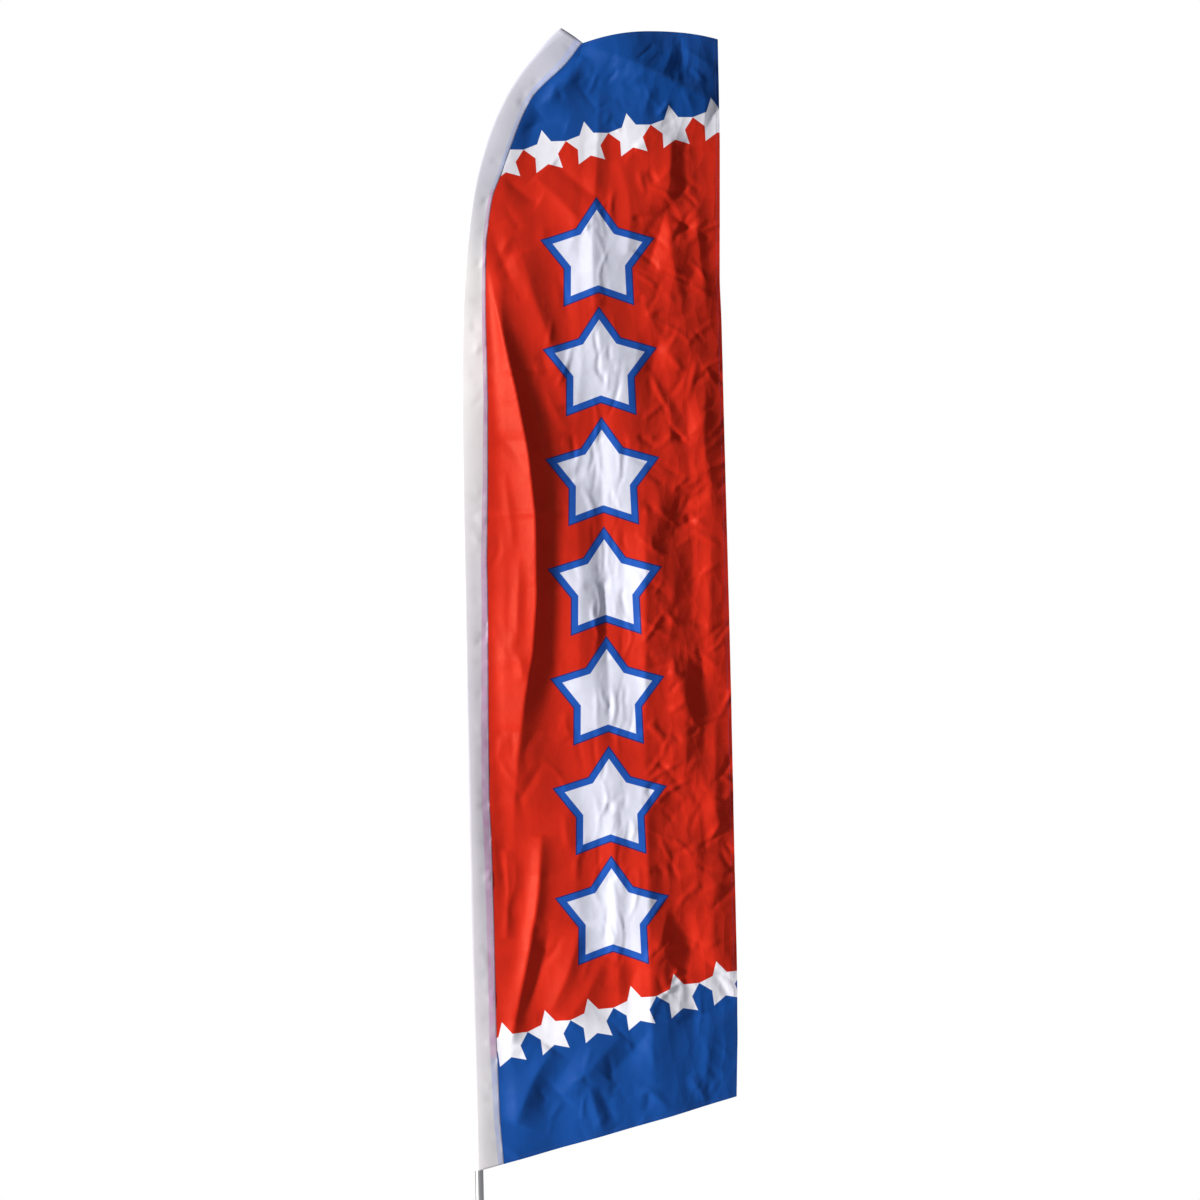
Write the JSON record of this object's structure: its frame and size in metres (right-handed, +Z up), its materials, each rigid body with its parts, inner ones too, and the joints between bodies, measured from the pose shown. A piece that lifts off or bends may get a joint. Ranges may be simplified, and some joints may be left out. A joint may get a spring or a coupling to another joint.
{
  "type": "feather flag with pole",
  "caption": "Tall feather-shaped cloth flag with a star print on a curved sectional pole that turns on a ground spike.",
  "frame": {"origin": "centre of the ground spike at ground level, on the underside of its foot plate", "axes": "+Z up along the pole's straight lower part, +X from the pole towards the flag's free edge, the printed front faces -Y"},
  "size_m": [0.869, 0.11, 4.8997],
  "materials": {
    "zinc_steel": "satin",
    "bearing_steel": "polished",
    "spring_steel": "satin",
    "anodised_tube": "satin",
    "nylon": "satin",
    "black_plastic": "matte",
    "black_rubber": "matte",
    "fibreglass": "satin",
    "white_cloth": "matte",
    "webbing": "matte",
    "printed_cloth": "matte"
  },
  "bodies": {
    "spike": {"spike_shaft": "zinc_steel", "foot_plate": "zinc_steel", "bearing_housing": "zinc_steel", "bearing_outer_race": "bearing_steel", "top_bush": "nylon", "dust_seal": "black_rubber"},
    "rotor": {"spindle": "zinc_steel", "bearing_inner_race": "bearing_steel", "ball_cage": "bearing_steel", "retaining_ring": "spring_steel"},
    "pole": {"base_bush": "nylon", "guide_bush": "nylon", "base_ferrule": "black_plastic", "pole_base_tube": "anodised_tube", "pole_lower_tube": "anodised_tube", "pole_upper_tube": "anodised_tube", "snap_spring_lower": "spring_steel", "snap_spring_upper": "spring_steel", "rod_plug": "black_plastic", "plug_rim": "black_plastic", "tip_rod_lower": "fibreglass", "tip_ferrule": "bearing_steel", "tip_rod_upper": "fibreglass", "tip_cap": "black_rubber", "pole_sleeve": "white_cloth", "sleeve_tip_pocket": "webbing", "seam_tape": "webbing", "flag_panel": "printed_cloth"},
    "lower_button": {"snap_button_lower": "spring_steel"},
    "upper_button": {"snap_button_upper": "spring_steel"}
  },
  "joints": [
    {"name": "spindle_spin", "type": "hinge", "parent": "spike", "child": "rotor", "pos_m": [0, 0, 0.0185], "axis": [0, 0, 1], "continuous": true},
    {"name": "pole_lift", "type": "slide", "parent": "rotor", "child": "pole", "axis": [0, 0, 1], "range_m": [0, 0.28]},
    {"name": "lower_button_press", "type": "slide", "parent": "pole", "child": "lower_button", "axis": [-1, 0, 0], "range_m": [0, 0.0026], "stiffness_N_per_m": 1500},
    {"name": "upper_button_press", "type": "slide", "parent": "pole", "child": "upper_button", "axis": [-1, 0, 0], "range_m": [0, 0.0026], "stiffness_N_per_m": 1500}
  ]
}
